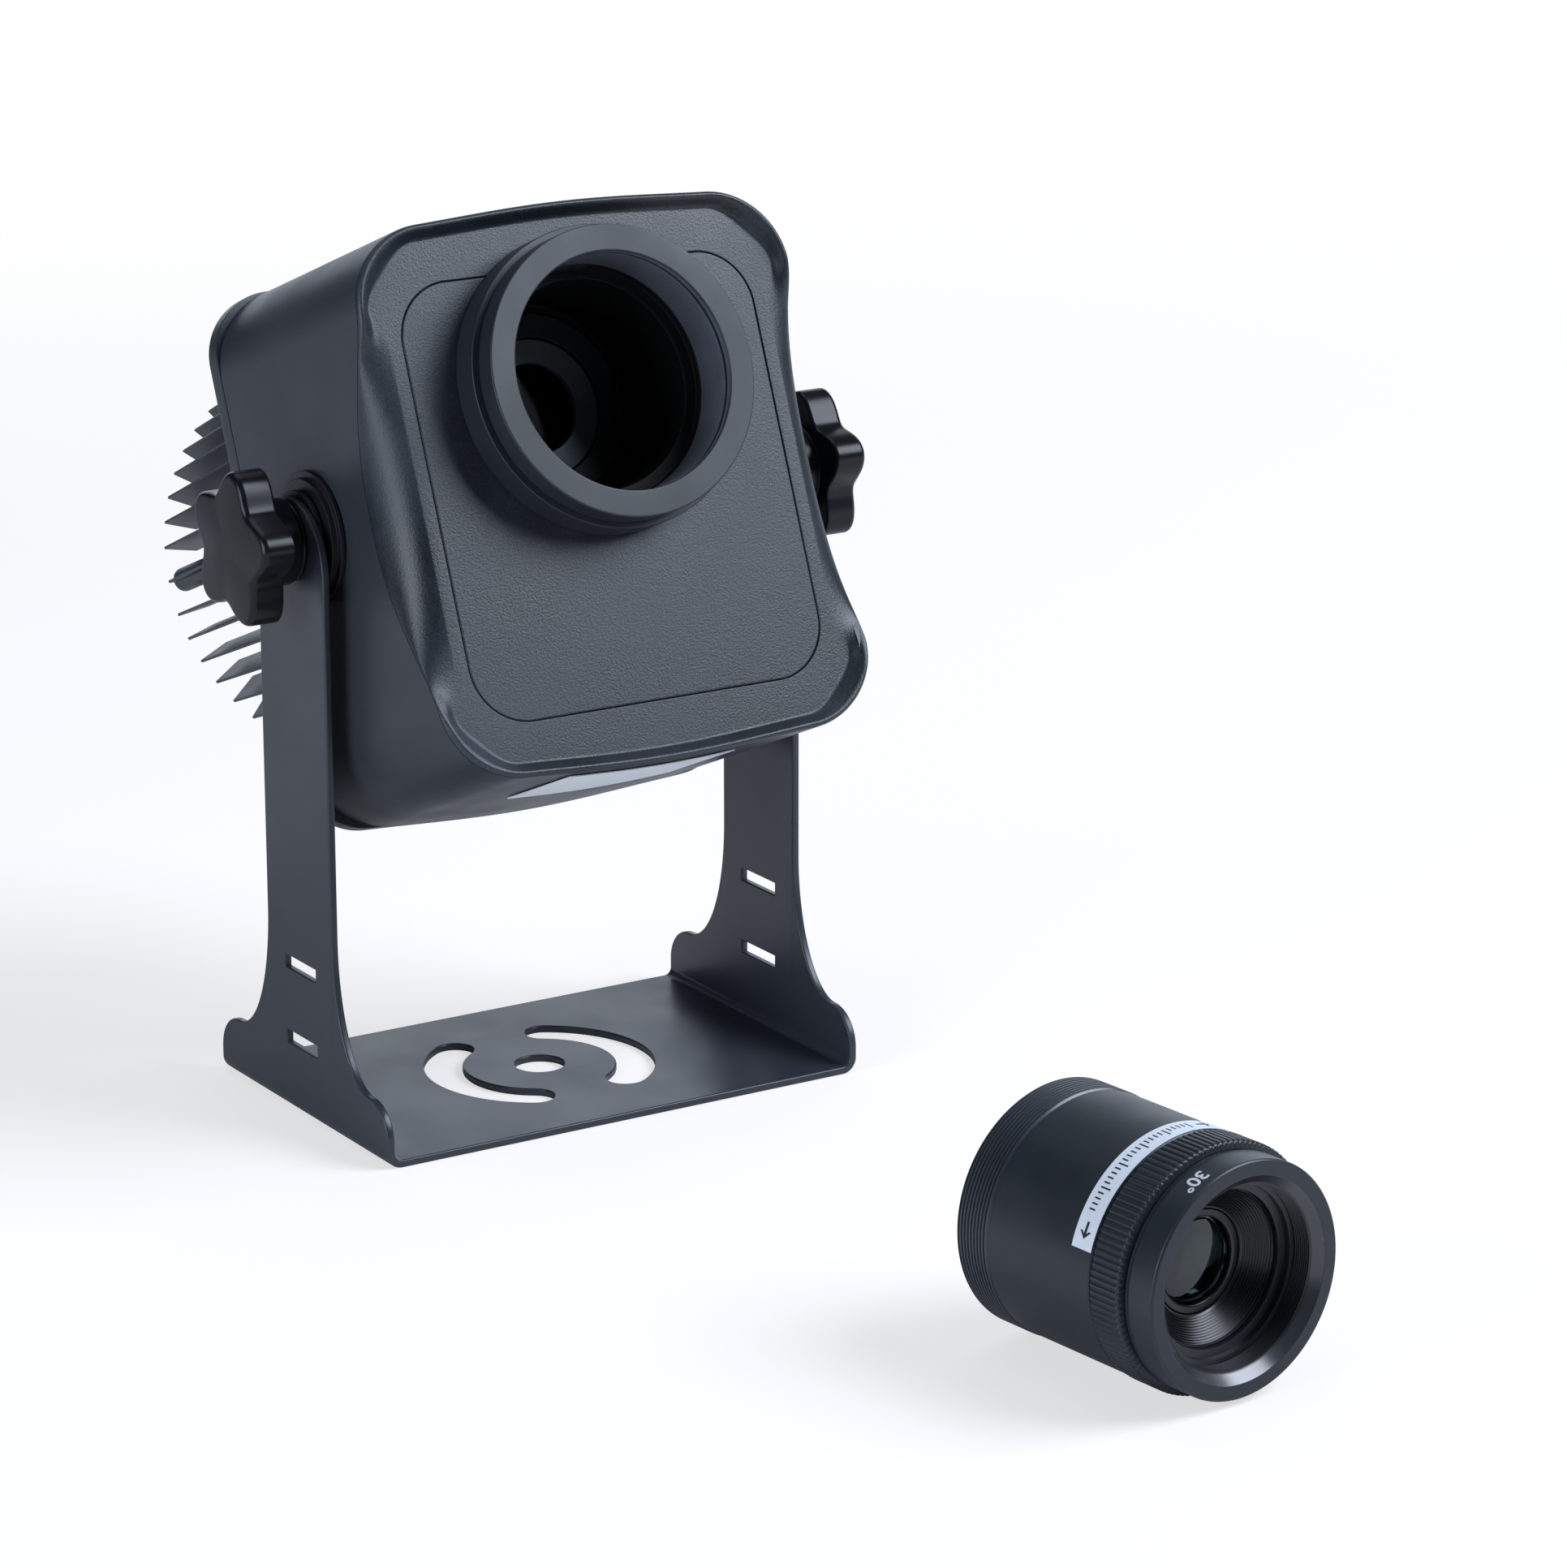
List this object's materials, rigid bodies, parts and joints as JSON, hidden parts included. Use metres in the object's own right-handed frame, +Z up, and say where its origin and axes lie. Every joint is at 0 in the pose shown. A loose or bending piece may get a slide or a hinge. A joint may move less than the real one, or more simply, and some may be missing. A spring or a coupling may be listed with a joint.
{
  "type": "stage gobo projector",
  "caption": "Compact stage gobo projector: a boxy tilting lamp head with a finned rear, clamped by star knobs in a slotted U yoke, with its screw-in focusing lens beside it.",
  "frame": {"origin": "centre of the yoke's bolt hole, on the plane of the base's underside", "axes": "+Z up from the base, +X along the yoke's width (the tilt axis), and the head shines towards -Y"},
  "size_m": [0.1755, 0.3981, 0.2312],
  "materials": {
    "yoke_paint": "satin powder coat",
    "satin_paint": "smooth satin paint",
    "sandy_paint": "fine sandy powder coat",
    "black_anodised": "matt black anodised",
    "dark_anodised": "dark grey anodised",
    "black_plastic": "matt",
    "knob_plastic": "glossy sides with a satin face",
    "bright_steel": "zinc plated",
    "dark_steel": "black oxide",
    "lens_glass": "coated, clear",
    "label_film": "pale blank film",
    "lens_strip": "pale film with dark focus marks",
    "board_green": "solder mask",
    "board_white": "white solder mask",
    "yellow_tape": "winding tape",
    "copper_wire": "enamelled copper",
    "phosphor": "yellow phosphor"
  },
  "bodies": {
    "yoke": {"yoke_bracket": "yoke_paint"},
    "head": {"housing_sleeve": "satin_paint", "front_cover": "sandy_paint", "front_panel": "sandy_paint", "rear_cover": "satin_paint", "bottom_label": "label_film", "heat_sink": "dark_anodised", "driver_board": "board_green", "driver_transformer": "yellow_tape", "driver_capacitor": "black_plastic", "driver_inductor": "copper_wire", "rear_cover_screw_1": "dark_steel", "rear_cover_screw_2": "dark_steel", "rear_cover_screw_3": "dark_steel", "rear_cover_screw_4": "dark_steel", "heat_sink_screw_1": "dark_steel", "heat_sink_screw_2": "dark_steel", "heat_sink_screw_3": "dark_steel", "heat_sink_screw_4": "dark_steel", "collar_flange": "black_anodised", "collar_ring": "black_anodised", "lens_socket_tube": "black_anodised", "gobo_holder": "dark_anodised", "gobo_glass": "lens_glass", "gobo_retaining_ring": "dark_anodised", "condenser_barrel": "dark_anodised", "condenser_lens_front": "lens_glass", "condenser_lens_rear": "lens_glass", "led_board": "board_white", "led_emitter": "phosphor", "cable_gland_body": "black_plastic", "cable_gland_nut": "black_plastic", "pivot_disc_left": "knob_plastic", "pivot_nut_left": "dark_steel", "pivot_spacer_left": "black_plastic", "pivot_disc_right": "knob_plastic", "pivot_nut_right": "dark_steel", "pivot_spacer_right": "black_plastic"},
    "left_clamp": {"knob_washer_left": "dark_steel"},
    "left_knob": {"knob_left": "knob_plastic", "knob_stud_left": "bright_steel"},
    "right_clamp": {"knob_washer_right": "dark_steel"},
    "right_knob": {"knob_right": "knob_plastic", "knob_stud_right": "bright_steel"},
    "lens_body": {"lens_barrel": "black_anodised", "lens_label": "lens_strip"},
    "focus_slide": {"focus_tube": "black_anodised", "glass_retaining_ring": "black_anodised", "front_glass": "lens_glass", "middle_glass": "lens_glass", "rear_glass": "lens_glass", "rear_retaining_ring": "black_anodised"},
    "focus_grip": {"focus_ring": "black_anodised", "lens_nose": "black_anodised"}
  },
  "joints": [
    {"name": "head_tilt", "type": "hinge", "parent": "yoke", "child": "head", "pos_m": [0, 0, 0.151], "axis": [-1, 0, 0], "range_deg": [-112, 67]},
    {"name": "knob_left_travel", "type": "slide", "parent": "head", "child": "left_clamp", "axis": [-1, 0, 0], "range_m": [0, 0.0051]},
    {"name": "knob_left_turn", "type": "hinge", "parent": "left_clamp", "child": "left_knob", "pos_m": [-0.08, 0, 0.151], "axis": [-1, 0, 0], "range_deg": [0, 1440]},
    {"name": "knob_right_travel", "type": "slide", "parent": "head", "child": "right_clamp", "axis": [1, 0, 0], "range_m": [-0.0026, 0.0026]},
    {"name": "knob_right_turn", "type": "hinge", "parent": "right_clamp", "child": "right_knob", "pos_m": [0.08, 0, 0.151], "axis": [1, 0, 0], "range_deg": [-720, 720]},
    {"name": "lens_place", "type": "slide", "parent": "yoke", "child": "lens_body", "axis": [0.1089, -0.9941, 0], "range_m": [-0.03, 0.03]},
    {"name": "focus_travel", "type": "slide", "parent": "lens_body", "child": "focus_slide", "axis": [0.1089, -0.9941, 0], "range_m": [0, 0.004]},
    {"name": "focus_turn", "type": "hinge", "parent": "focus_slide", "child": "focus_grip", "pos_m": [0.0193, -0.2779, 0.0296], "axis": [0.1089, -0.9941, 0], "range_deg": [0, 450]}
  ],
  "couplings": [
    {"joint": "knob_left_travel", "follows": "knob_left_turn", "m_per_rad": 0.00019894},
    {"joint": "knob_right_travel", "follows": "knob_right_turn", "m_per_rad": 0.00019894},
    {"joint": "focus_travel", "follows": "focus_turn", "m_per_rad": 0.00047746}
  ]
}
